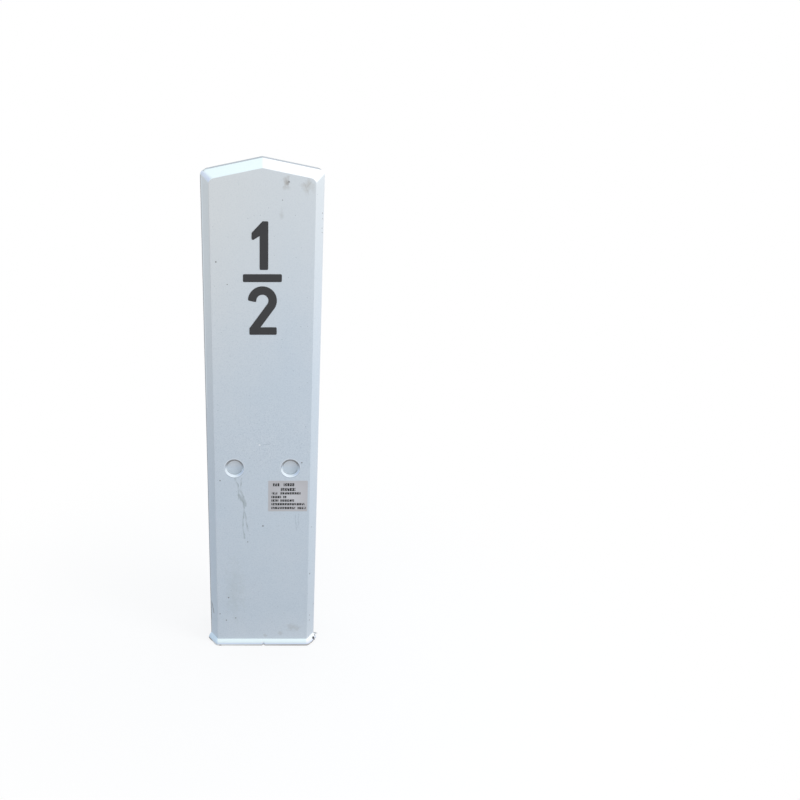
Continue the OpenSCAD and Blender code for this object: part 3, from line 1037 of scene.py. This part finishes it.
colour = blend(tree, colour, flap_edge, linear("#7B8086"), 0.85)
# The nick is painted grey
nick = spot(tree, where, (2, FRONT_Y - 5, 1.2), (3.4, 4, 3.0), 0.8)
colour = blend(tree, colour, nick, linear("#9A9CA0"), 0.8)
tree.links.new(colour, shader.inputs["Base Color"])
print("torn end:", len(tree.nodes), "nodes so far")

# %% [markdown]
# Gel coat has an index of refraction of about 1.5. The mould leaves it satin: its
# roughness goes from 0.36 to 0.5 with the mottling, so that it is duller where the coat
# is thin. Its relief is bump: waves of the mould, 45 mm long, the orange peel of the
# resin, 2.5 mm, and the pinholes, which go inwards.

# %% Gloss and relief
WAVES, PEEL = 45, 2.5
gloss = add(tree, "ShaderNodeMapRange", {"Value": mottle, "To Min": 0.36, "To Max": 0.5})
tree.links.new(gloss.outputs[0], shader.inputs["Roughness"])
shader.inputs["IOR"].default_value = 1.5

waves = add(tree, "ShaderNodeTexNoise", {"Vector": where, "Scale": 1 / (WAVES * MM), "Detail": 2.0})
wavy = add(tree, "ShaderNodeBump", {
    "Height": waves.outputs[0], "Strength": 0.25, "Distance": 1.2 * MM,
})
peel = add(tree, "ShaderNodeTexNoise", {"Vector": where, "Scale": 1 / (PEEL * MM), "Detail": 2.0})
peeled = add(tree, "ShaderNodeBump", {
    "Height": peel.outputs[0], "Strength": 0.6, "Distance": 0.12 * MM, "Normal": wavy.outputs[0],
})
pitted = add(tree, "ShaderNodeBump", {
    "Height": pinhole, "Strength": 0.5, "Distance": 0.3 * MM, "Normal": peeled.outputs[0],
}, invert=True)
tree.links.new(pitted.outputs[0], shader.inputs["Normal"])
shell_mesh.materials.append(gel_coat)
print("gel coat has", len(tree.nodes), "nodes")

# %% [markdown]
# ## Vinyl film
#
# The numerals are cut from charcoal sign vinyl, a calendered film with a matt face. A
# faint grain and a slight unevenness of its grey are all that the eye gets. The CAD's
# solids already have the right outline and thickness, so they stay.

# %% Vinyl film material
vinyl, tree, shader = new_material("matt_vinyl_film")
where = add(tree, "ShaderNodeTexCoord").outputs["Object"]
# Uneven over 18 mm; the film's embossing of 1.5 mm is drawn coarser than it is, to show
uneven = add(tree, "ShaderNodeTexNoise", {"Vector": where, "Scale": 1 / (18 * MM), "Detail": 5.0})
colour = add(tree, "ShaderNodeMix", {
    "Factor": uneven.outputs[0], "A": linear("#29292B"), "B": linear("#353536"),
}, data_type="RGBA")
tree.links.new(colour.outputs["Result"], shader.inputs["Base Color"])
rough = add(tree, "ShaderNodeMapRange", {"Value": uneven.outputs[0], "To Min": 0.5, "To Max": 0.65})
tree.links.new(rough.outputs[0], shader.inputs["Roughness"])
shader.inputs["IOR"].default_value = 1.53
emboss = add(tree, "ShaderNodeTexNoise", {"Vector": where, "Scale": 1 / (1.5 * MM), "Detail": 2.0})
bumped = add(tree, "ShaderNodeBump", {
    "Height": emboss.outputs[0], "Strength": 0.1, "Distance": 0.05 * MM,
})
tree.links.new(bumped.outputs[0], shader.inputs["Normal"])
dress(["numeral_one", "fraction_bar", "numeral_two"], vinyl)
print("vinyl on the numerals and the bar")

# %% [markdown]
# ## Label paper and its print
#
# The label is coated paper that has greyed a little, and its edges are painted darker than its middle, as
# a painted shade along its border. Its print is rows of plain bars, and the ink's material breaks them up
# into small marks that look like print from afar: noise leaves gaps, and so does an even row of blank
# columns. Ink and gaps are both laid on the same bars, so no shape is needed.

# %% Label paper material
paper, tree, shader = new_material("coated_label_paper")
where = add(tree, "ShaderNodeTexCoord").outputs["Object"]
cloudy = add(tree, "ShaderNodeTexNoise", {"Vector": where, "Scale": 1 / (25 * MM), "Detail": 4.0})
paper_colour = add(tree, "ShaderNodeMix", {
    "Factor": cloudy.outputs[0], "A": linear("#C3C1C3"), "B": linear("#CFCDCE"),
}, data_type="RGBA").outputs["Result"]
# Painted shade: its edges are painted darker than its middle
kept = spot(tree, where, (52, FRONT_Y, 316), (36, 9, 34), 0.9)
paper_colour = blend(tree, paper_colour, kept, linear("#E2E1E4"), 0.55)
tree.links.new(paper_colour, shader.inputs["Base Color"])
shader.inputs["Roughness"].default_value = 0.55
fibres = add(tree, "ShaderNodeTexNoise", {"Vector": where, "Scale": 1 / (1.2 * MM), "Detail": 3.0})
bumped = add(tree, "ShaderNodeBump", {
    "Height": fibres.outputs[0], "Strength": 0.15, "Distance": 0.05 * MM,
})
tree.links.new(bumped.outputs[0], shader.inputs["Normal"])
dress(["inspection_label"], paper)
print("paper on the label")

# %% Ink material
ink, tree, shader = new_material("thermal_print_ink")
where = add(tree, "ShaderNodeTexCoord").outputs["Object"]
# Marks of about 2 mm, drawn coarser than print so that they show, and a blank of a
# fifth of each column of 4.4 mm
COLUMN, BLANK_SHARE = 4.4, 0.2
coarse = add(tree, "ShaderNodeTexNoise", {"Vector": where, "Scale": 1 / (2.3 * MM), "Detail": 2.0})
broken = add(tree, "ShaderNodeMapRange", {"Value": coarse.outputs[0], "From Min": 0.57, "From Max": 0.63})
column = add(tree, "ShaderNodeSeparateXYZ", {"Vector": where}).outputs[0]
cell = add(tree, "ShaderNodeMath", {0: column, 1: COLUMN * MM}, operation="DIVIDE")
cell = add(tree, "ShaderNodeMath", {0: cell.outputs[0]}, operation="FRACT")
gap = add(tree, "ShaderNodeMath", {0: cell.outputs[0], 1: BLANK_SHARE}, operation="LESS_THAN")
blank = add(tree, "ShaderNodeMath", {0: broken.outputs[0], 1: gap.outputs[0]}, operation="MAXIMUM")
colour = add(tree, "ShaderNodeMix", {
    "Factor": blank.outputs[0], "A": linear("#0E0E10"), "B": linear("#C4C2C4"),
}, data_type="RGBA")
tree.links.new(colour.outputs["Result"], shader.inputs["Base Color"])
shader.inputs["Roughness"].default_value = 0.5
dress(["label_print"], ink)
print("ink on the label's bars")

# %% [markdown]
# ## Floor, background and light
#
# The background of a catalogue picture is plain white. The floor mixes a lit diffuse
# surface with a plain white that only camera and glossy rays see, so that the post's
# soft shadow stays. The light is an even white sky, which brightens what faces upwards,
# and a lamp at the right of the post's top, which makes the right bevel the brightest
# and lets the front grow darker towards the foot.

# %% Floor
FLOOR_HALF = 6.0
floor_mesh = bpy.data.meshes.new("floor")
floor_mesh.from_pydata([
    (-FLOOR_HALF, -FLOOR_HALF, 0), (FLOOR_HALF, -FLOOR_HALF, 0),
    (FLOOR_HALF, FLOOR_HALF, 0), (-FLOOR_HALF, FLOOR_HALF, 0),
], [], [(0, 1, 2, 3)])
floor = bpy.data.objects.new("floor", floor_mesh)
bpy.context.scene.collection.objects.link(floor)

pale, tree, shader = new_material("pale_studio_floor")
shader.inputs["Roughness"].default_value = 0.9
rays = add(tree, "ShaderNodeLightPath")
# Seen directly it is pale; what it throws back on the post is that of a grey yard
tint = add(tree, "ShaderNodeMix", {
    "Factor": rays.outputs["Is Camera Ray"], "A": linear("#9A9DA2"), "B": linear("#F4F5F6"),
}, data_type="RGBA")
tree.links.new(tint.outputs["Result"], shader.inputs["Base Color"])
seen = add(tree, "ShaderNodeMath", {
    0: rays.outputs["Is Camera Ray"], 1: rays.outputs["Is Glossy Ray"],
}, operation="MAXIMUM")
# The lit surface shows round the foot only, and is plain white from 0.9 m out
spread = add(tree, "ShaderNodeTexCoord").outputs["Object"]
away = add(tree, "ShaderNodeVectorMath", {0: spread}, operation="LENGTH")
cover = add(tree, "ShaderNodeMapRange", {
    "Value": away.outputs["Value"], "From Min": 0.15, "From Max": 0.9, "To Min": 0.8, "To Max": 1.0,
}, interpolation_type="SMOOTHSTEP")
amount = add(tree, "ShaderNodeMath", {0: seen.outputs[0], 1: cover.outputs[0]}, operation="MULTIPLY")
white = add(tree, "ShaderNodeEmission", {"Color": (1, 1, 1, 1), "Strength": 1.0})
mixed = add(tree, "ShaderNodeMixShader", {0: amount.outputs[0], 1: shader.outputs[0], 2: white.outputs[0]})
tree.links.new(mixed.outputs[0], tree.nodes["output"].inputs["Surface"])
floor_mesh.materials.append(pale)
print("floor is", 2 * FLOOR_HALF, "m wide")

# %% World
world = bpy.data.worlds.new("studio")
world.use_nodes = True
bpy.context.scene.world = world
tree = world.node_tree
tree.nodes.clear()
fill = add(tree, "ShaderNodeBackground", {"Color": linear("#F5F9FE"), "Strength": 0.95})
plain = add(tree, "ShaderNodeBackground", {"Color": (1, 1, 1, 1), "Strength": 1.0})
rays = add(tree, "ShaderNodeLightPath")
seen = add(tree, "ShaderNodeMath", {
    0: rays.outputs["Is Camera Ray"], 1: rays.outputs["Is Transmission Ray"],
}, operation="MAXIMUM")
mixed = add(tree, "ShaderNodeMixShader", {0: seen.outputs[0], 1: fill.outputs[0], 2: plain.outputs[0]})
add(tree, "ShaderNodeOutputWorld", {"Surface": mixed.outputs[0]})
print("world strength:", fill.inputs["Strength"].default_value)

# %% Lamps
def soft_lamp(name, place, aim, size, watts, code):
    """A square area lamp at a place, turned to face a point."""
    data = bpy.data.lights.new(name, "AREA")
    data.size = size
    data.energy = watts
    data.color = linear(code)[:3]
    lamp = bpy.data.objects.new(name, data)
    lamp.location = place
    away = np.array(place) - np.array(aim)
    lean = np.arctan2(np.hypot(away[0], away[1]), away[2])
    lamp.rotation_euler = (lean, 0, np.arctan2(away[0], -away[1]))
    bpy.context.scene.collection.objects.link(lamp)


soft_lamp("right_of_top", (1.2, -0.7, 1.3), (0, 0, 0.8), 0.6, 8.5, "#FFFFFF")
bpy.context.scene.view_settings.view_transform = "Standard"

# %% [markdown] ## End of the notebook
